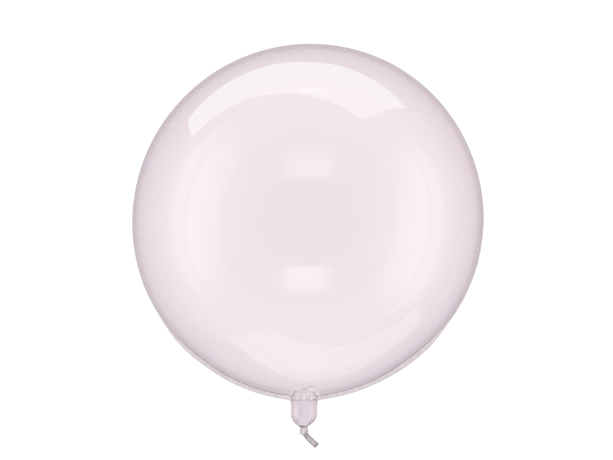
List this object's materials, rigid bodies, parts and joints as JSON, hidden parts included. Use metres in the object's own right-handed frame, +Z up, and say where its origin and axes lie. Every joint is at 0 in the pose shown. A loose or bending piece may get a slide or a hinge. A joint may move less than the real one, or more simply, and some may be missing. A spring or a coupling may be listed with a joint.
{
  "type": "round balloon",
  "caption": "Round inflated balloon of clear thin film with a welded seam, a short neck gathered to a pinch and a twisted tail, lying on its side.",
  "frame": {"origin": "centre of the small flat spot on the underside, which the balloon lies on", "axes": "+Z up from the flat spot through the ball's centre; the neck and tail point along -Y; the welded seam lies level, in a plane parallel to X and Y"},
  "size_m": [0.4014, 0.4618, 0.3984],
  "materials": {
    "clear_film": "clear glossy thin plastic film with a very pale pink cast"
  },
  "bodies": {
    "root": {"balloon": "clear_film"}
  },
  "joints": []
}
